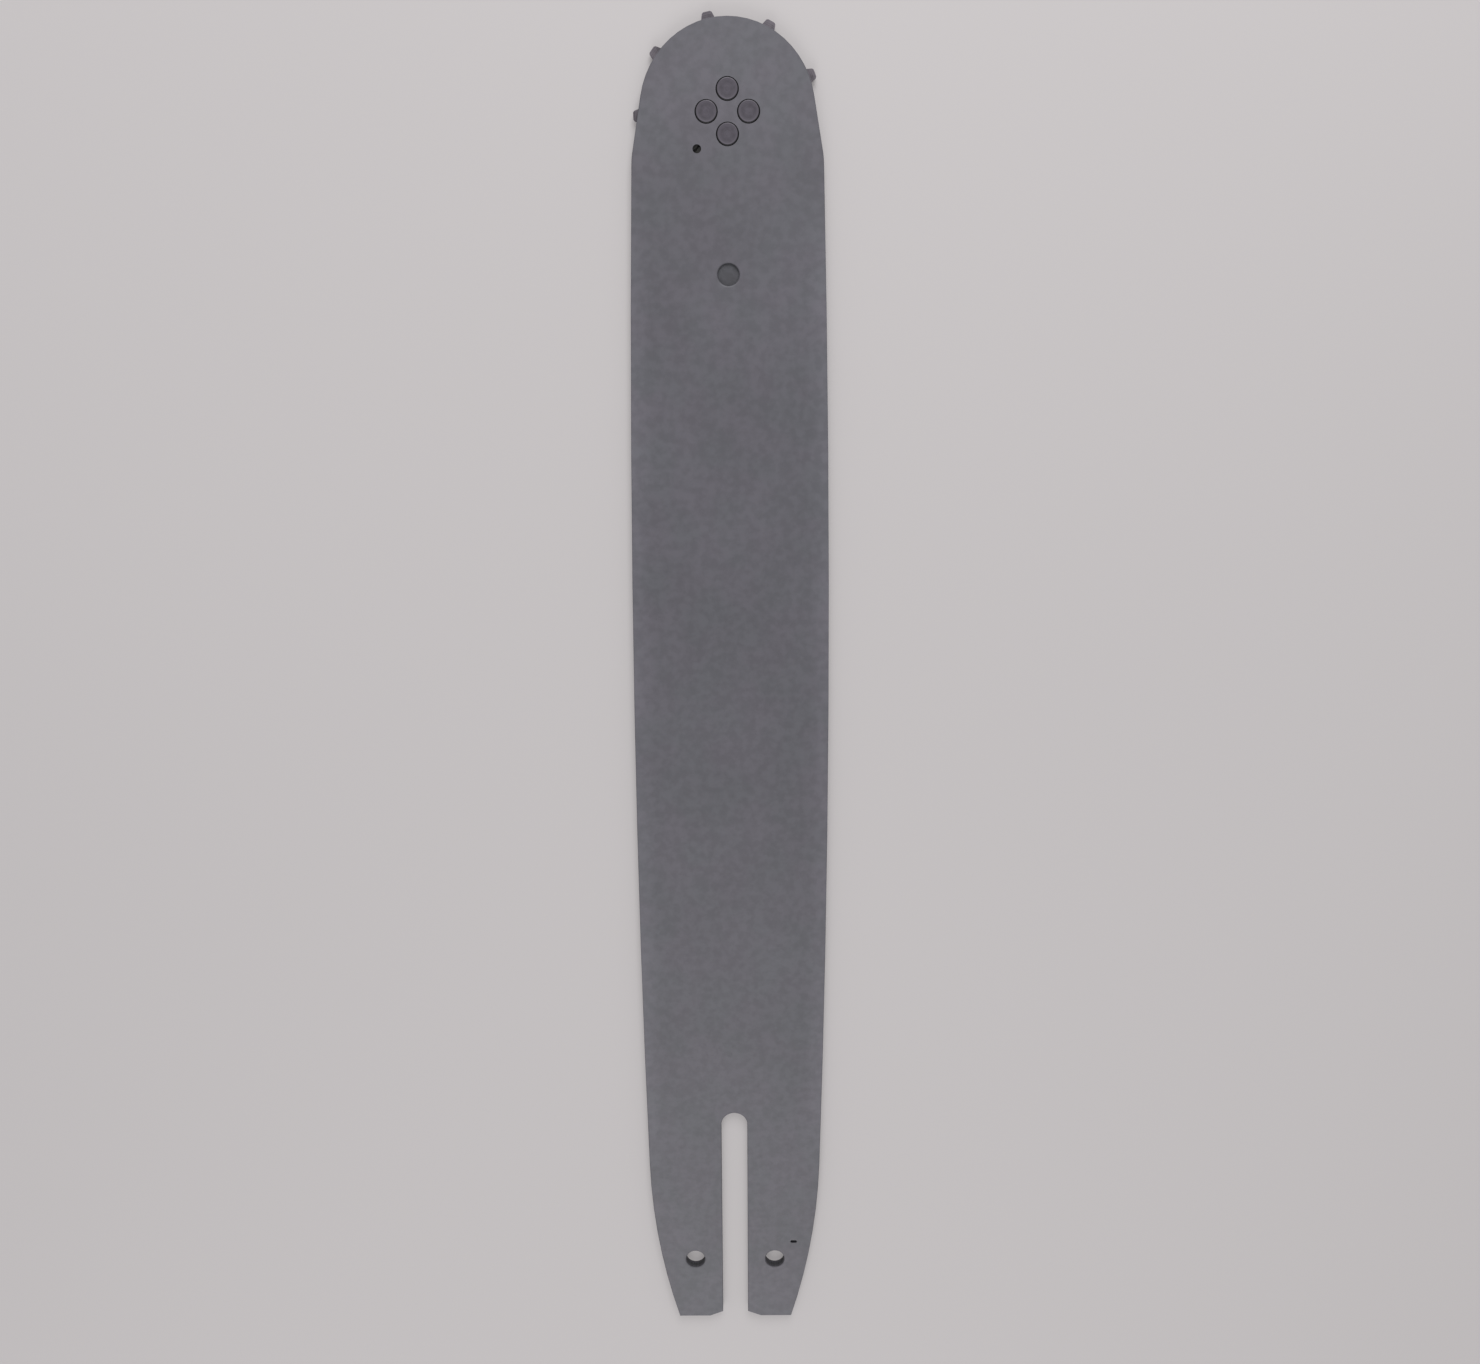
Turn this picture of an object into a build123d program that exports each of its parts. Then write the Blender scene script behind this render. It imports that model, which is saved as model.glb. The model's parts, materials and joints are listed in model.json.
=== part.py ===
import os
from math import acos, asin, atan, cos, degrees, floor, hypot, radians, sqrt

from build123d import *

os.makedirs("parts", exist_ok=True)

# A laminated chainsaw guide bar that lies flat on its rear face. All sizes are in millimetres.
# x runs across the bar, y along it from the line of the tensioner holes to the nose, z out of the front face.

# Plates: two side plates with a core plate between them
side_plate_thickness = 1.0
core_thickness = 1.2  # also the width of the chain groove
groove_depth = 6.7
rim_chamfer = 0.15  # on the outer rim of each side plate

# Outline
tail_length = 21.8  # from the tensioner holes back to the tail end
taper_radius = 221.0  # each side of the tail is one arc
taper_start_y = 35.2
taper_start_half_width = 26.95
belly_y = 153.2  # near the widest place of the rails
belly_half_width = 28.2
nose_axis_y = 348.2
nose_radius = 22.8
shoulder_setback = 11.3  # from the sprocket's axis back to where the nose flank meets the rail
shoulder_half_width = 25.15
shoulder_blend_radius = 20.0

# Stud slot, tensioner holes and oil hole in the tail
slot_width = 8.2
slot_length = 75.5  # from the tail end to the round end
lead_in_width = 4.2
lead_in_depth = 1.7
tensioner_hole_diameter = 6.1
tensioner_hole_spacing = 25.7
oil_hole_length = 2.1  # across the bar
oil_hole_width = 0.95
oil_hole_floor_gap = 0.1  # from the hole's inner end to the floor of the groove
oil_hole_y = 6.5

# Recess and grease hole in the front half of the side plates
recess_diameter = 5.8
recess_setback = 40.7  # from the sprocket's axis
grease_hole_diameter = 2.25
grease_hole_angle = 228.5  # degrees about the sprocket's axis, from +x

# Nose rivets
rivet_count = 4
rivet_circle_diameter = 11.0
rivet_diameter = 6.0
rivet_clearance = 0.02
rivet_edge_chamfer = 0.3

# Nose sprocket
tooth_count = 9
tooth_tip_radius = 24.5
tooth_tip_width = 2.4
tooth_tip_chamfer = 0.3
gullet_root_radius = 16.8
gullet_round = 4.2
first_tooth_angle = 102.2  # degrees about the sprocket's axis, from +x
sprocket_side_clearance = 0.07
sprocket_pocket_clearance = 0.6

# Bearing between the race and the sprocket
race_radius = 9.8
roller_diameter = 4.6
roller_gap = 0.2  # the least gap between two rollers
roller_clearance = 0.03
roller_end_clearance = 0.05

# Heights of the layers
core_bottom = side_plate_thickness
core_top = core_bottom + core_thickness
bar_thickness = core_top + side_plate_thickness

# Fits of the sprocket, its bearing, the rivets and the tensioner holes
roller_circle_radius = race_radius + roller_clearance + roller_diameter / 2
roller_count = floor(180 / degrees(asin((roller_diameter + roller_gap) / 2 / roller_circle_radius)))
sprocket_bore_radius = roller_circle_radius + roller_diameter / 2 + roller_clearance
sprocket_thickness = core_thickness - 2 * sprocket_side_clearance
sprocket_pocket_radius = tooth_tip_radius + sprocket_pocket_clearance
roller_length = core_thickness - 2 * roller_end_clearance
rivet_hole_radius = rivet_diameter / 2 + rivet_clearance
tensioner_pad_radius = tensioner_hole_diameter / 2 + side_plate_thickness  # a wall one plate wide

# The nose flank is a straight line from the shoulder that touches the nose circle
shoulder_reach = hypot(shoulder_half_width, shoulder_setback)
flank_angle = degrees(acos(nose_radius / shoulder_reach) - atan(shoulder_setback / shoulder_half_width))

# The taper is drawn past the tail end, so that the core plate's inset outline reaches that end too
taper_drop = taper_start_y + tail_length + 2 * groove_depth
taper_sweep = degrees(asin(taper_drop / taper_radius))

# Outline of the bar, with its tail still too long
with BuildSketch() as bar_outline:
    with BuildLine():
        nose = CenterArc((0, nose_axis_y), nose_radius, 90, flank_angle - 90)
        flank = Line(nose @ 1, (shoulder_half_width, nose_axis_y - shoulder_setback))
        rail = ThreePointArc(
            flank @ 1,
            (belly_half_width, belly_y),
            (taper_start_half_width, taper_start_y),
        )
        taper = JernArc(rail @ 1, rail % 1, taper_radius, -taper_sweep)
        Line(taper @ 1, (0, (taper @ 1).Y))
        mirror(about=Plane.YZ)
    make_face()
    corners = bar_outline.vertices()
    left_shoulder = corners.sort_by_distance((-shoulder_half_width, nose_axis_y - shoulder_setback))[0]
    right_shoulder = corners.sort_by_distance((shoulder_half_width, nose_axis_y - shoulder_setback))[0]
    fillet([left_shoulder, right_shoulder], shoulder_blend_radius)

# The oil hole opens into the groove, so it follows the edge of the bar at its own height
oil_hole_inset = groove_depth - oil_hole_floor_gap - oil_hole_length / 2
edge_height = oil_hole_y - taper.arc_center.Y
oil_hole_x = taper.arc_center.X + sqrt(taper_radius**2 - edge_height**2) - oil_hole_inset

# What is cut from the tail of all three plates: the straight end, the open slot and the tensioner holes
with BuildSketch() as tail_cuts:
    with Locations((0, -tail_length)):
        Rectangle(4 * belly_half_width, 2 * taper_drop, align=(Align.CENTER, Align.MAX))
    with BuildLine():
        mouth = Line((0, -tail_length), (slot_width / 2 + lead_in_width, -tail_length))
        lead_in = Line(mouth @ 1, (slot_width / 2, lead_in_depth - tail_length))
        side = Line(lead_in @ 1, (slot_width / 2, slot_length - tail_length - slot_width / 2))
        TangentArc(side @ 1, (0, slot_length - tail_length), tangent=side % 1)
        mirror(about=Plane.YZ)
    make_face()
    with GridLocations(tensioner_hole_spacing, 0, 2, 1):
        Circle(tensioner_hole_diameter / 2)

# Front side plate
with BuildPart() as front_side_plate:
    with BuildSketch(Plane.XY.offset(core_top)):
        add(bar_outline.sketch)
        add(tail_cuts.sketch, mode=Mode.SUBTRACT)
        with Locations((oil_hole_x, oil_hole_y)):
            SlotOverall(oil_hole_length, oil_hole_width, mode=Mode.SUBTRACT)
        with Locations((0, nose_axis_y - recess_setback)):
            Circle(recess_diameter / 2, mode=Mode.SUBTRACT)
        with Locations((0, nose_axis_y)):
            with PolarLocations(roller_circle_radius, 1, start_angle=grease_hole_angle):
                Circle(grease_hole_diameter / 2, mode=Mode.SUBTRACT)
            with PolarLocations(rivet_circle_diameter / 2, rivet_count):
                Circle(rivet_hole_radius, mode=Mode.SUBTRACT)
    extrude(amount=side_plate_thickness)
    front_face = front_side_plate.faces().sort_by(Axis.Z)[-1]
    chamfer(front_face.outer_wire().edges(), rim_chamfer)

# Rear side plate: the same pressing, turned over about the bar's length
with BuildPart() as rear_side_plate:
    with Locations((0, 0, bar_thickness)):
        add(front_side_plate.part, rotation=(0, 180, 0))

# Core plate: narrower by the chain groove on both sides, but with a wall left round each tensioner hole, and
# hollowed in front to clear the sprocket
with BuildPart() as core_plate:
    with BuildSketch(Plane.XY.offset(core_bottom)):
        add(bar_outline.sketch)
        offset(amount=-groove_depth, mode=Mode.REPLACE)
        with GridLocations(tensioner_hole_spacing, 0, 2, 1):
            Circle(tensioner_pad_radius)
        add(tail_cuts.sketch, mode=Mode.SUBTRACT)
        with Locations((0, nose_axis_y)):
            Circle(sprocket_pocket_radius, mode=Mode.SUBTRACT)
    extrude(amount=core_thickness)

# One gullet of the sprocket: a round bottom, and straight flanks that touch it and end at the tips of two teeth
half_pitch = 180 / tooth_count
tip_half_angle = degrees(asin(tooth_tip_width / 2 / tooth_tip_radius))
tip_corner = Vector(tooth_tip_radius, 0).rotate(Axis.Z, half_pitch - tip_half_angle)
gullet_centre = Vector(gullet_root_radius + gullet_round, 0)
corner_reach = tip_corner - gullet_centre
flank_turn = degrees(acos(gullet_round / corner_reach.length))
flank_foot = gullet_centre + corner_reach.rotate(Axis.Z, flank_turn).normalized() * gullet_round
gullet_apex = (tooth_tip_radius / cos(radians(half_pitch - tip_half_angle)), 0)
with BuildSketch() as gullet:
    with BuildLine():
        RadiusArc((gullet_root_radius, 0), flank_foot, gullet_round)
        Line(flank_foot, tip_corner)
        Line(tip_corner, gullet_apex)
        mirror(about=Plane.XZ)
    make_face()

# Nose sprocket: a toothed ring that runs on the rollers, between the side plates
with BuildPart() as nose_sprocket:
    with BuildSketch(Plane((0, nose_axis_y, core_bottom + sprocket_side_clearance))) as sprocket_profile:
        Circle(tooth_tip_radius)
        with PolarLocations(0, tooth_count, start_angle=first_tooth_angle + half_pitch):
            add(gullet.sketch, mode=Mode.SUBTRACT)
        tip_corners = sprocket_profile.vertices().filter_by(
            lambda corner: abs(hypot(corner.X, corner.Y) - tooth_tip_radius) < 1e-6
        )
        chamfer(tip_corners, tooth_tip_chamfer)
        Circle(sprocket_bore_radius, mode=Mode.SUBTRACT)
    extrude(amount=sprocket_thickness)

# Bearing race: a disc that the rivets hold between the side plates
with BuildPart() as bearing_race:
    with BuildSketch(Plane((0, nose_axis_y, core_bottom))):
        Circle(race_radius)
        with PolarLocations(rivet_circle_diameter / 2, rivet_count):
            Circle(rivet_hole_radius, mode=Mode.SUBTRACT)
    extrude(amount=core_thickness)

# Nose rivets: flush with both faces of the bar, with bevelled ends
with BuildPart() as nose_rivets:
    with BuildSketch(Plane((0, nose_axis_y, 0))):
        with PolarLocations(rivet_circle_diameter / 2, rivet_count):
            Circle(rivet_diameter / 2)
    extrude(amount=bar_thickness)
    chamfer(nose_rivets.edges().filter_by(GeomType.CIRCLE), rivet_edge_chamfer)

fixed_pieces = {
    "front_side_plate": front_side_plate,
    "rear_side_plate": rear_side_plate,
    "core_plate": core_plate,
    "nose_sprocket": nose_sprocket,
    "bearing_race": bearing_race,
    "nose_rivets": nose_rivets,
}
for name, piece in fixed_pieces.items():
    piece.part.label = name
    export_step(piece.part, f"parts/{name}.step")

# Bearing rollers: a ring of loose rollers, one node each
for number in range(roller_count):
    roller_angle = 360 * number / roller_count
    with BuildPart() as bearing_roller:
        with BuildSketch(Plane((0, nose_axis_y, core_bottom + roller_end_clearance))):
            with PolarLocations(roller_circle_radius, 1, start_angle=roller_angle):
                Circle(roller_diameter / 2)
        extrude(amount=roller_length)
    bearing_roller.part.label = f"bearing_roller_{number + 1:02d}"
    export_step(bearing_roller.part, f"parts/{bearing_roller.part.label}.step")
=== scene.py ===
import json
import math

import bmesh
import bpy
from mathutils import Matrix, Vector


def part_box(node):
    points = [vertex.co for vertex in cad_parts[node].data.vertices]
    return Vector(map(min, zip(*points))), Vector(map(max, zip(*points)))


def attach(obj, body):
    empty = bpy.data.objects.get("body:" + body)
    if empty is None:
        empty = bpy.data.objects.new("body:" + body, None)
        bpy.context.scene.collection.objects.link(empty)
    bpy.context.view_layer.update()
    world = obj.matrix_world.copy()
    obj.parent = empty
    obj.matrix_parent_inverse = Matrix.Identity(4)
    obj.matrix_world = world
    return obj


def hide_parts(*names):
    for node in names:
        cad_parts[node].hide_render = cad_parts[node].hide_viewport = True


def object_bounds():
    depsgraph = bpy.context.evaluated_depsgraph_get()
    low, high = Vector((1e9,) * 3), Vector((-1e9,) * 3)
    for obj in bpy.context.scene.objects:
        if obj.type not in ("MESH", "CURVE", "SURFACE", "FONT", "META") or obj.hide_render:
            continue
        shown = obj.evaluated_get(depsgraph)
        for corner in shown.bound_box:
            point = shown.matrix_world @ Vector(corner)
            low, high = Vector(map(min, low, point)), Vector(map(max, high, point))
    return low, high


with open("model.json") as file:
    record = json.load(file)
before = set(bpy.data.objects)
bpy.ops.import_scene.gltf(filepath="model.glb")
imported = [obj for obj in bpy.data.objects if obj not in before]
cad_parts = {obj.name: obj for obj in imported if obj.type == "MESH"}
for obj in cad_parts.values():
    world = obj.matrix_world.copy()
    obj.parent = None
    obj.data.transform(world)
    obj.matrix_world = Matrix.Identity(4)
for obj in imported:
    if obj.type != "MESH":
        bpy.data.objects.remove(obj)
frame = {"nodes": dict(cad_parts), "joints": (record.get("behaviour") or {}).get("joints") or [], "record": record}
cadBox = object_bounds()
nodes = frame["nodes"]

# Places that several pieces share, all in metres
mm = 0.001
hair = 0.005 * mm  # less than this counts as touching
plateLow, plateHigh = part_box("front_side_plate")
barTop = plateHigh.z  # front face of the bar
barBottom = cadBox[0].z
noseAxis = Vector(frame["joints"][0]["pos_m"])
barMiddle = (cadBox[0] + cadBox[1]) / 2
barMiddle.z = barTop
print("frame loaded:", len(nodes), "nodes, bar top at", round(barTop, 5))


# Small helpers for the node trees

noiseKinds = {  # detail, roughness
    "soft": (2.0, 0.5),
    "clouded": (4.0, 0.5),
    "specked": (3.0, 0.6),
    "patchy": (4.0, 0.6),
}
noiseSpan = (0.3, 0.7)  # a noise seldom leaves this span
markSpan = (0.35, 0.65)  # narrower, so that marks stand out
wallSpan = (0.45, 0.2)  # a face turns into a cut wall as the z of its normal falls through this span


def setInputs(tree, node, inputs):
    for key, value in inputs.items():
        if isinstance(value, bpy.types.NodeSocket):
            tree.links.new(value, node.inputs[key])
        else:
            node.inputs[key].default_value = value


def addNode(tree, kind, inputs=None, **settings):
    node = tree.nodes.new(kind)
    for name, value in settings.items():
        setattr(node, name, value)
    setInputs(tree, node, inputs or {})
    return node


def calc(tree, operation, first, second=0.0):
    return addNode(tree, "ShaderNodeMath", {0: first, 1: second}, operation=operation).outputs[0]


def spread(tree, value, fromLow, fromHigh, toLow=0.0, toHigh=1.0):
    inputs = {0: value, 1: fromLow, 2: fromHigh, 3: toLow, 4: toHigh}
    return addNode(tree, "ShaderNodeMapRange", inputs, interpolation_type="SMOOTHSTEP").outputs[0]


def stretched(tree, value, low=0.0, high=1.0):
    return spread(tree, value, *noiseSpan, low, high)


def splitPlace(tree, place):
    return addNode(tree, "ShaderNodeSeparateXYZ", {0: place}).outputs


def reachOf(tree, place):
    return addNode(tree, "ShaderNodeVectorMath", {0: place}, operation="LENGTH").outputs["Value"]


def noise(tree, size, kind, where, **settings):
    detail, roughness = noiseKinds[kind]
    inputs = {**where, "Scale": 1 / size, "Detail": detail, "Roughness": roughness}
    return addNode(tree, "ShaderNodeTexNoise", inputs, **settings).outputs["Fac"]


def grain(tree, place, size, kind="soft"):
    return noise(tree, size, kind, {"Vector": place})


def turningMarks(tree, radius, size):
    return noise(tree, size, "soft", {"W": radius}, noise_dimensions="1D")


def mapped(tree, place, scale=(1, 1, 1), offset=(0, 0, 0)):
    inputs = {"Vector": place, "Location": offset, "Scale": scale}
    return addNode(tree, "ShaderNodeMapping", inputs).outputs[0]


def mixed(tree, first, second, share):
    firstPart = calc(tree, "MULTIPLY", first, share)
    secondPart = calc(tree, "MULTIPLY", second, 1 - share)
    return calc(tree, "ADD", firstPart, secondPart)


def blendTones(tree, factor, first, second):
    return addNode(tree, "ShaderNodeMix", {0: factor, 6: first, 7: second}, data_type="RGBA").outputs[2]


def tone(rgb, level=1.0):
    return (rgb[0] * level, rgb[1] * level, rgb[2] * level, 1.0)


def toneAbout(tree, factor, rgb, depth, level=1.0):
    return blendTones(tree, factor, tone(rgb, level * (1 - depth)), tone(rgb, level * (1 + depth)))


def tinted(tree, colour, factor, low, high):
    inputs = {0: 1.0, 6: colour, 7: blendTones(tree, factor, tone(low), tone(high))}
    return addNode(tree, "ShaderNodeMix", inputs, data_type="RGBA", blend_type="MULTIPLY").outputs[2]


def shaded(tree, colour, factor, low, high):
    return tinted(tree, colour, factor, (low, low, low), (high, high, high))


def bump(tree, height, depth):
    inputs = {"Strength": 1.0, "Distance": depth, "Height": height}
    return addNode(tree, "ShaderNodeBump", inputs).outputs[0]


def wallMask(tree, coords):
    levelness = calc(tree, "ABSOLUTE", splitPlace(tree, coords.outputs["Normal"])["Z"])
    return spread(tree, levelness, *wallSpan)


# Materials and pieces

def newMaterial(name):
    material = bpy.data.materials.new(name)
    material.use_nodes = True
    tree = material.node_tree
    shader = tree.nodes["Principled BSDF"]
    coords = addNode(tree, "ShaderNodeTexCoord")
    return material, tree, shader, coords


def paint(material, *names):
    for name in names:
        slots = nodes[name].data.materials
        slots.clear()
        slots.append(material)


def ringOf(mesh, x, y, reach, height, angles):
    return [mesh.verts.new((x + reach * math.cos(a), y + reach * math.sin(a), height)) for a in angles]


def newPiece(name, mesh, material):
    data = bpy.data.meshes.new(name)
    mesh.to_mesh(data)
    mesh.free()
    data.materials.append(material)
    piece = bpy.data.objects.new(name, data)
    bpy.context.scene.collection.objects.link(piece)
    return piece


# Grey coat of the plates

paintLook = {  # what the side plates and the core plate have in common
    "coolTint": (0.970, 0.998, 0.982),
    "warmTint": (1.030, 1.002, 1.018),
    "speckSpan": (0.55, 0.85),  # only the peaks of the noise make specks
    "roughSpan": (0.25, 0.75),
    "streakDepth": 0.2,
    "streakSize": 0.35 * mm,
    "streakStretch": (1, 1, 0.06),  # streaks run through the plate's thickness
}
coatLook = {
    **paintLook,
    "tone": (0.087, 0.0845, 0.0988),
    "grooveShadeTone": (0.024, 0.023, 0.024),  # painted shade on the inner faces, beside the chain groove
    "cloudSize": 38 * mm,  # slow shading of the coat
    "cloudDepth": 0.05,
    "tintSize": 11 * mm,  # patches that lean warm or cool
    "mottleSize": 2.4 * mm,
    "mottleDepth": 0.085,
    "speckSize": 1.1 * mm,
    "speckDepth": 0.07,
    "grainSize": 0.28 * mm,  # fine tooth of the coat
    "grainHeight": 0.010 * mm,
    "roughness": (0.50, 0.56),
    "railWidth": 6.6 * mm,  # lighter strip along each rail, palest near its edge
    "railPalest": 0.6 * mm,
    "railLift": 1.175,
    "railRadius": 5.548,  # each rail is one long arc
    "railMiddleY": 0.153,
    "railEnds": (0.030, 0.060, 0.300, 0.335),  # where the strips fade in and out
    "wallLevel": 0.55,  # cut walls are darker than the faces, partly as painted shade
}
coreLook = {
    **paintLook,
    "tone": (0.052, 0.053, 0.061),
    "cloudSize": 12 * mm,
    "cloudDepth": 0.10,
    "tintSize": 8 * mm,
    "mottleSize": 1.8 * mm,
    "mottleDepth": 0.11,
    "speckSize": 0.8 * mm,
    "speckDepth": 0.14,
    "grainSize": 0.3 * mm,
    "grainHeight": 0.015 * mm,
    "roughness": (0.55, 0.68),
    # cut walls darker than the faces, partly as painted shade
    "wallLevel": 0.6,
}


def grooveShadeMask(tree, coords):
    height = splitPlace(tree, coords.outputs["Object"])["Z"]
    fromMiddle = calc(tree, "ABSOLUTE", calc(tree, "SUBTRACT", height, noseAxis.z))
    return calc(tree, "LESS_THAN", fromMiddle, plateLow.z - noseAxis.z + hair)


def railMask(tree, coords, look):
    place = splitPlace(tree, coords.outputs["Object"])
    across = calc(tree, "ABSOLUTE", place["X"])
    along = place["Y"]
    offset = calc(tree, "SUBTRACT", along, look["railMiddleY"])
    square = calc(tree, "MULTIPLY", offset, offset)
    drop = calc(tree, "DIVIDE", square, 2 * look["railRadius"])  # the arc falls away from its middle
    depth = calc(tree, "SUBTRACT", calc(tree, "SUBTRACT", plateHigh.x, across), drop)  # in from the edge
    strip = spread(tree, depth, look["railWidth"], look["railPalest"])
    startLow, startHigh, endLow, endHigh = look["railEnds"]
    fadeIn = spread(tree, along, startLow, startHigh)
    fadeOut = spread(tree, along, endHigh, endLow)
    return calc(tree, "MULTIPLY", strip, calc(tree, "MULTIPLY", fadeIn, fadeOut))


def coatMaterial(name, look):
    material, tree, shader, coords = newMaterial(name)
    place = coords.outputs["Object"]
    clouds = grain(tree, place, look["cloudSize"], "clouded")
    tints = grain(tree, place, look["tintSize"])
    mottle = grain(tree, place, look["mottleSize"])
    specks = grain(tree, place, look["speckSize"], "specked")
    fine = grain(tree, place, look["grainSize"])
    streaks = grain(tree, mapped(tree, place, look["streakStretch"]), look["streakSize"])
    mottleLow = 1 - look["mottleDepth"]
    mottleHigh = 1 + look["mottleDepth"]
    colour = toneAbout(tree, stretched(tree, clouds), look["tone"], look["cloudDepth"])
    colour = tinted(tree, colour, stretched(tree, tints), look["coolTint"], look["warmTint"])
    colour = shaded(tree, colour, stretched(tree, mottle), mottleLow, mottleHigh)
    colour = shaded(tree, colour, spread(tree, specks, *look["speckSpan"]), 1.0, 1 - look["speckDepth"])
    if "railLift" in look:
        colour = shaded(tree, colour, railMask(tree, coords, look), 1.0, look["railLift"])
    # painted shade on the inner faces in the chain groove
    if "grooveShadeTone" in look:
        colour = blendTones(tree, grooveShadeMask(tree, coords), colour, tone(look["grooveShadeTone"]))
    # cut walls darker than the faces, partly painted shade
    wall = toneAbout(tree, stretched(tree, streaks), look["tone"], look["streakDepth"], look["wallLevel"])
    setInputs(tree, shader, {
        "Base Color": blendTones(tree, wallMask(tree, coords), colour, wall),
        "Roughness": spread(tree, specks, *look["roughSpan"], *look["roughness"]),
        "Normal": bump(tree, fine, look["grainHeight"]),
    })
    return material


# Side plates with the rolled rims of their punched holes, made from the frame's own plates

rimLook = {
    "plates": {  # node, outer face, way inward, rounding of the tensioner holes
        "front_plate": ("front_side_plate", barTop, -1, 0.3 * mm),  # where the punch went in
        "rear_plate": ("rear_side_plate", barBottom, 1, 0.15 * mm),  # and where it came out
    },
    "recessRound": 0.4 * mm,
    "recessSetback": 40.7 * mm,  # from the sprocket's axis
    "recessRadius": 2.9 * mm,
    "steps": 5,
    "reachError": 0.05 * mm,  # a rim's points lie this close to its circle
    "sharpAngle": 30,  # degrees, edges above this stay crisp
}


def punchedHoles(look, tensionerRound):
    holes = [(noseAxis.x, noseAxis.y - look["recessSetback"], look["recessRadius"], look["recessRound"])]
    for mount in frame["record"]["mounts"]:
        if mount["kind"] == "bore":
            x, y = mount["pos_m"][:2]
            holes.append((x, y, mount["dims"]["r_mm"] * mm, tensionerRound))
    return holes


def liesAt(part, height):
    return all(abs(vert.co.z - height) < hair for vert in part.verts)


def rollRim(mesh, hole, outer, inward, look):
    x, y, radius, roll = hole
    rim = []
    for vert in mesh.verts:
        reach = math.hypot(vert.co.x - x, vert.co.y - y)
        if abs(vert.co.z - outer) < hair and abs(reach - radius) < look["reachError"]:
            rim.append((math.atan2(vert.co.y - y, vert.co.x - x), vert))
    rim.sort(key=lambda pair: pair[0])
    angles = [angle for angle, vert in rim]
    ring = [vert for angle, vert in rim]
    for vert in ring:
        vert.co.z = outer + inward * roll  # down the wall, where the roll starts
    for step in range(1, look["steps"] + 1):
        turn = math.pi / 2 * step / look["steps"]
        reach = radius + roll * (1 - math.cos(turn))
        height = outer + inward * roll * (1 - math.sin(turn))
        wider = ringOf(mesh, x, y, reach, height, angles)
        for after in range(len(ring)):
            mesh.faces.new((ring[after - 1], ring[after], wider[after], wider[after - 1]))
        ring = wider


def rolledPlate(name, look, material):
    node, outer, inward, tensionerRound = look["plates"][name]
    mesh = bmesh.new()
    mesh.from_mesh(nodes[node].data)
    bmesh.ops.remove_doubles(mesh, verts=mesh.verts[:], dist=hair)
    flatFaces = [face for face in mesh.faces if liesAt(face, outer)]
    bmesh.ops.delete(mesh, geom=flatFaces, context="FACES")
    for hole in punchedHoles(look, tensionerRound):
        rollRim(mesh, hole, outer, inward, look)
    border = [edge for edge in mesh.edges if edge.is_boundary and liesAt(edge, outer)]
    bmesh.ops.triangle_fill(mesh, edges=border, use_beauty=True, normal=(0, 0, -inward))
    bmesh.ops.recalc_face_normals(mesh, faces=mesh.faces[:])
    for face in mesh.faces:
        face.smooth = True
    for edge in mesh.edges:
        flatSides = [liesAt(face, outer) for face in edge.link_faces]
        crisp = edge.calc_face_angle(0) > math.radians(look["sharpAngle"])
        edge.smooth = not crisp and flatSides[0] == flatSides[-1]
    plate = newPiece(name, mesh, material)
    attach(plate, "bar")
    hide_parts(node)
    return plate


greyCoat = coatMaterial("greyCoat", coatLook)
for name in rimLook["plates"]:
    plate = rolledPlate(name, rimLook, greyCoat)
    print(name, "rolled and coated,", len(plate.data.polygons), "faces")
paint(coatMaterial("coreCoat", coreLook), "core_plate")
print("core plate coated")


# Steel of the nose sprocket and its bearing

sprocketLook = {
    "darkTone": (0.085, 0.078, 0.088),
    "lightTone": (0.145, 0.132, 0.150),
    "patchSize": 1.6 * mm,
    "ringSize": 0.35 * mm,  # turning marks about the axis
    "ringHeight": 0.006 * mm,
    "ringShare": 0.4,
    "roughness": (0.38, 0.55),
}
bearingLook = {
    "darkTone": (0.42, 0.42, 0.43),
    "lightTone": (0.60, 0.60, 0.61),
    "greaseAndShadeTone": (0.012, 0.011, 0.010),  # old grease on the flat ends, darkened to near black as painted shade behind the grease hole
    "patchSize": 1.8 * mm,
    "ringSize": 0.2 * mm,
    "ringHeight": 0.003 * mm,
    "ringShare": 0.4,
    "roughness": (0.22, 0.34),
}


def steelMaterial(name, look):
    material, tree, shader, coords = newMaterial(name)
    place = mapped(tree, coords.outputs["Object"], offset=-noseAxis)
    rings = turningMarks(tree, reachOf(tree, mapped(tree, place, (1, 1, 0))), look["ringSize"])
    patches = grain(tree, place, look["patchSize"], "patchy")
    marks = spread(tree, mixed(tree, rings, patches, look["ringShare"]), *markSpan)
    colour = blendTones(tree, marks, tone(look["darkTone"]), tone(look["lightTone"]))
    metal = 1.0
    # grease with painted shade on the flat ends, seen through the grease hole
    if "greaseAndShadeTone" in look:
        metal = wallMask(tree, coords)
        colour = blendTones(tree, metal, tone(look["greaseAndShadeTone"]), colour)
    setInputs(tree, shader, {
        "Base Color": colour,
        "Metallic": metal,
        "Roughness": stretched(tree, patches, *look["roughness"]),
        "Normal": bump(tree, rings, look["ringHeight"]),
    })
    return material


rollers = sorted(name for name in nodes if name.startswith("bearing_roller"))
paint(steelMaterial("sprocketSteel", sprocketLook), "nose_sprocket")
paint(steelMaterial("bearingSteel", bearingLook), "bearing_race", *rollers)
print("sprocket and bearing finished,", len(rollers), "rollers")


# Nose rivets, turned and peened flush with both faces

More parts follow.
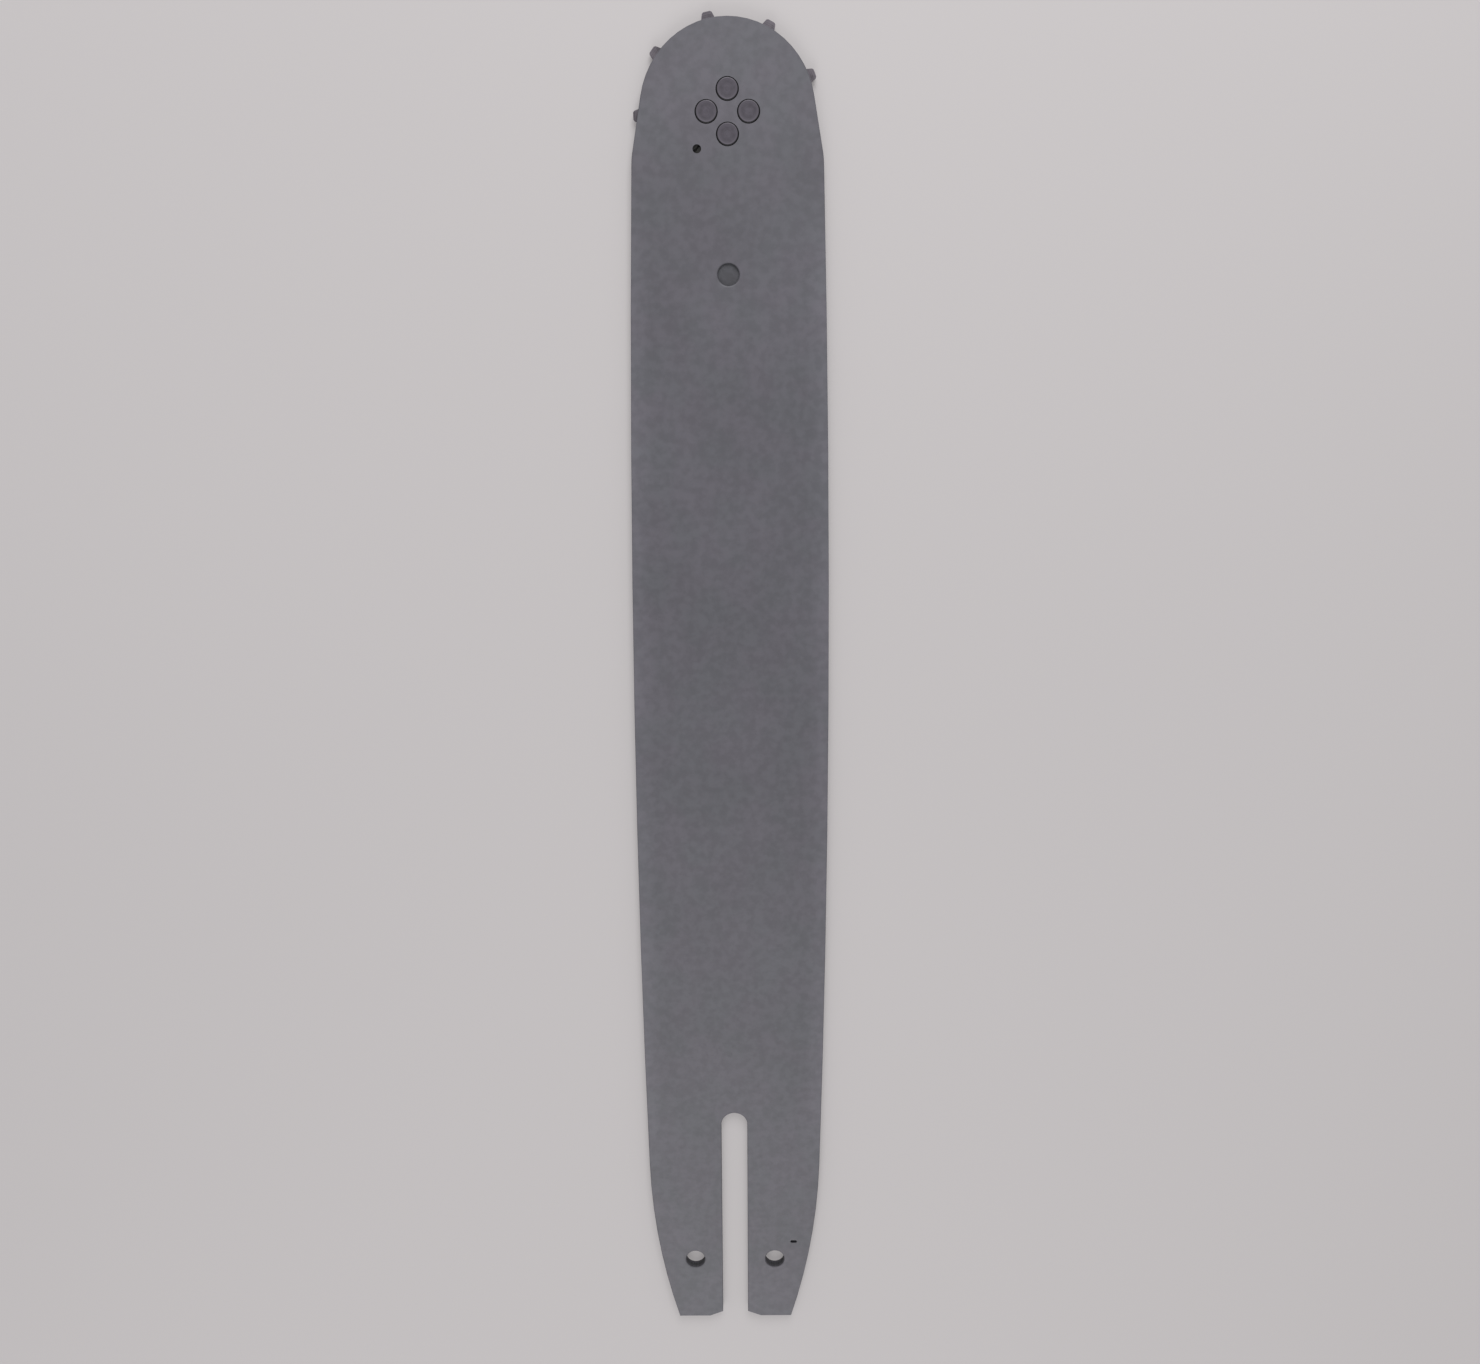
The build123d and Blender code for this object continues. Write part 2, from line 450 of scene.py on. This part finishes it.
rivetLook = {
    "radius": 3.0 * mm,
    "ways": ((1, 0, 0), (0, 1, 0), (-1, 0, 0), (0, -1, 0)),  # from the sprocket's axis
    "edgeRound": 0.42 * mm,
    "edgeSteps": 6,
    "lipWidth": 0.28 * mm,  # raised lip round the peened face
    "lipCurve": ((0.35, 0.4), (0.7, 0.0)),  # share of the lip's width, share of the dish
    "dish": 0.035 * mm,  # the face is lower than its lip
    "dishCurve": ((0.0, 0.9), (0.6, 1.0), (0.95, 0.9)),  # share of the way to the lip, share of the dish
    "turns": 72,
    "tone": (0.0655, 0.0585, 0.0735),
    "toneDepth": 0.13,
    "hollowLevel": 0.89,  # the face is darkest between its middle and the lip
    "hollowStart": 0.7 * mm,
    "hollowEnd": 1.6 * mm,
    "lipHighlightTone": (0.073, 0.065, 0.081),  # the lip is lighter, a painted highlight
    "lipStart": 2.00 * mm,
    "lipEnd": 2.25 * mm,
    "seamShadeTone": (0.006, 0.0055, 0.007),
    "seamShadeStart": 2.55 * mm,  # painted shade in the seam round the rivet
    "seamShadeEnd": 2.72 * mm,
    "seamShadeLean": 0.13 * mm,  # more painted shade on the side towards the tail
    "blotSize": 1.1 * mm,
    "ringSize": 0.45 * mm,
    "ringHeight": 0.01 * mm,
    "ringShare": 0.5,
    "metallic": 0.3,
    "roughness": (0.42, 0.55),
}
rivetLow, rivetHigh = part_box("nose_rivets")
rivetCircle = rivetHigh.x - rivetLook["radius"]


def rivetProfile(look, bottom, top):
    inner = look["radius"] - look["edgeRound"]
    lip = inner - look["lipWidth"]
    half = []
    for share, depth in look["dishCurve"]:
        half.append((lip * share, top - look["dish"] * depth))
    for share, depth in look["lipCurve"]:
        half.append((lip + look["lipWidth"] * share, top - look["dish"] * depth))
    for step in range(look["edgeSteps"] + 1):
        angle = math.radians(90 * (1 - step / look["edgeSteps"]))
        reach = inner + look["edgeRound"] * math.cos(angle)
        half.append((reach, top - look["edgeRound"] * (1 - math.sin(angle))))
    return half + [(reach, bottom + top - height) for reach, height in reversed(half)]


def turnProfile(mesh, profile, centre, turns):
    angles = [2 * math.pi * turn / turns for turn in range(turns)]
    rows = []
    for reach, height in profile:
        if reach == 0:
            rows.append([mesh.verts.new((centre.x, centre.y, height))])
        else:
            rows.append(ringOf(mesh, centre.x, centre.y, reach, height, angles))
    for upper, lower in zip(rows, rows[1:]):
        for turn in range(turns):
            after = (turn + 1) % turns
            if len(upper) == 1:
                mesh.faces.new((upper[0], lower[turn], lower[after]))
            elif len(lower) == 1:
                mesh.faces.new((upper[turn], lower[0], upper[after]))
            else:
                mesh.faces.new((upper[turn], lower[turn], lower[after], upper[after]))


def rivetReach(tree, coords):  # from the middle of the nearest rivet, in all and towards the nose
    place = splitPlace(tree, mapped(tree, coords.outputs["Object"], offset=-noseAxis))
    across = calc(tree, "ABSOLUTE", place["X"])
    along = calc(tree, "ABSOLUTE", place["Y"])
    outward = calc(tree, "SUBTRACT", calc(tree, "MAXIMUM", across, along), rivetCircle)
    sideways = calc(tree, "MINIMUM", across, along)
    fromRivet = addNode(tree, "ShaderNodeCombineXYZ", {"X": outward, "Y": sideways}).outputs[0]
    onLine = calc(tree, "GREATER_THAN", along, across)  # the two rivets on the bar's centre line
    way = calc(tree, "MULTIPLY", onLine, calc(tree, "SIGN", place["Y"]))
    noseward = calc(tree, "SUBTRACT", place["Y"], calc(tree, "MULTIPLY", way, rivetCircle))
    return reachOf(tree, fromRivet), noseward


def rivetMaterial(name, look):
    material, tree, shader, coords = newMaterial(name)
    radius, noseward = rivetReach(tree, coords)
    blots = grain(tree, coords.outputs["Object"], look["blotSize"], "specked")
    marks = mixed(tree, turningMarks(tree, radius, look["ringSize"]), blots, look["ringShare"])
    face = toneAbout(tree, spread(tree, marks, *markSpan), look["tone"], look["toneDepth"])
    hollow = spread(tree, radius, look["hollowStart"], look["hollowEnd"])
    lip = spread(tree, radius, look["lipStart"], look["lipEnd"])
    face = shaded(tree, face, hollow, 1.0, look["hollowLevel"])
    # painted highlight on the lip round the peened face
    withLipHighlight = blendTones(tree, lip, face, tone(look["lipHighlightTone"]))
    # painted shade in the seam round the rivet, wider on the tail side
    lean = calc(tree, "MULTIPLY", noseward, look["seamShadeLean"] / look["radius"])
    seamShade = spread(tree, calc(tree, "SUBTRACT", radius, lean), look["seamShadeStart"], look["seamShadeEnd"])
    setInputs(tree, shader, {
        "Base Color": blendTones(tree, seamShade, withLipHighlight, tone(look["seamShadeTone"])),
        "Metallic": look["metallic"],
        "Roughness": stretched(tree, blots, *look["roughness"]),
        "Normal": bump(tree, marks, look["ringHeight"]),
    })
    return material


def rivetMesh(look):
    mesh = bmesh.new()
    profile = rivetProfile(look, rivetLow.z, rivetHigh.z)
    for way in look["ways"]:
        turnProfile(mesh, profile, noseAxis + Vector(way) * rivetCircle, look["turns"])
    for face in mesh.faces:
        face.smooth = True
    bmesh.ops.recalc_face_normals(mesh, faces=mesh.faces[:])
    return mesh


turnedRivets = newPiece("turned_rivets", rivetMesh(rivetLook), rivetMaterial("rivetSteel", rivetLook))
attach(turnedRivets, "bar")
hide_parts("nose_rivets")
print("rivets turned,", len(turnedRivets.data.polygons), "faces")


# Pale floor

floorLook = {
    "size": 40.0,
    "squares": 4,  # along each side
    "gap": 0.05 * mm,  # keeps the floor clear of the rear face
    "tone": (0.315, 0.302, 0.304),
    "clouding": 0.02,
    "cloudSize": 0.5,
    "paleTone": (0.200, 0.1915, 0.193),  # pale of its own where it is seen, not more light on the bar
    "roughness": 0.9,
    "shine": 0.1,
}


def floorMesh(look):
    mesh = bmesh.new()
    squares = look["squares"]
    bmesh.ops.create_grid(mesh, x_segments=squares, y_segments=squares, size=look["size"] / 2)
    return mesh


def floorMaterial(name, look):
    material, tree, shader, coords = newMaterial(name)
    clouds = grain(tree, coords.outputs["Object"], look["cloudSize"])
    rays = addNode(tree, "ShaderNodeLightPath").outputs
    seen = calc(tree, "MAXIMUM", rays["Is Camera Ray"], rays["Is Glossy Ray"])
    setInputs(tree, shader, {
        "Base Color": toneAbout(tree, stretched(tree, clouds), look["tone"], look["clouding"]),
        "Roughness": look["roughness"],
        "Specular IOR Level": look["shine"],
        "Emission Color": tone(look["paleTone"]),
        "Emission Strength": calc(tree, "MAXIMUM", seen, rays["Is Transmission Ray"]),
    })
    return material


paleFloor = newPiece("pale_floor", floorMesh(floorLook), floorMaterial("paleFloor", floorLook))
paleFloor.location = (barMiddle.x, barMiddle.y, barBottom - floorLook["gap"])
print("floor laid")


# Soft studio light

studioLook = {
    "skyTone": (1.0, 0.985, 0.99),
    "skyStrength": 0.5,
    "lamps": {  # place from the bar's middle, size, watts
        "noseSoftbox": ((0.06, 0.62, 0.50), 0.45, 4.2),
        "tailSoftbox": ((-0.08, -0.62, 0.55), 0.60, 2.6),
    },
}


def lightStudio(look):
    world = bpy.data.worlds.new("studio")
    bpy.context.scene.world = world
    world.use_nodes = True
    sky = world.node_tree.nodes["Background"]
    sky.inputs["Color"].default_value = tone(look["skyTone"])
    sky.inputs["Strength"].default_value = look["skyStrength"]
    for name, (place, size, watts) in look["lamps"].items():
        data = bpy.data.lights.new(name, "AREA")
        data.shape = "DISK"
        data.size = size
        data.energy = watts
        lamp = bpy.data.objects.new(name, data)
        lamp.location = barMiddle + Vector(place)
        lamp.rotation_euler = (-Vector(place)).to_track_quat("-Z", "Y").to_euler()
        bpy.context.scene.collection.objects.link(lamp)


lightStudio(studioLook)
print("studio lit")


# Camera above the bar, nose at the top of the picture

cameraLook = {
    "lens": 35.03,  # millimetres
    "sensor": 36,  # millimetres wide
    "tilt": 15.733,  # degrees off straight down
    "roll": 0.297,  # degrees
    "aim": (2.51 * mm, 194.6 * mm),  # where the view's middle meets the front face
    "distance": 414.72 * mm,
    "clipStart": 0.01,
}


def placeCamera(look):
    tilt = math.radians(look["tilt"])
    roll = math.radians(look["roll"])
    back = Vector((0, math.sin(tilt), math.cos(tilt)))
    right = Vector((1, 0, 0))
    up = back.cross(right)
    rolledUp = up * math.cos(roll) + right * math.sin(roll)
    rolledRight = right * math.cos(roll) - up * math.sin(roll)
    data = bpy.data.cameras.new("photoCamera")
    data.lens = look["lens"]
    data.sensor_width = look["sensor"]
    data.clip_start = look["clipStart"]
    camera = bpy.data.objects.new("photoCamera", data)
    place = Vector((*look["aim"], barTop)) + back * look["distance"]
    turn = Matrix((rolledRight, rolledUp, back)).transposed().to_4x4()
    camera.matrix_world = Matrix.Translation(place) @ turn
    bpy.context.scene.collection.objects.link(camera)
    bpy.context.scene.camera = camera


placeCamera(cameraLook)
bpy.context.scene.view_settings.view_transform = "Standard"
print("camera placed")
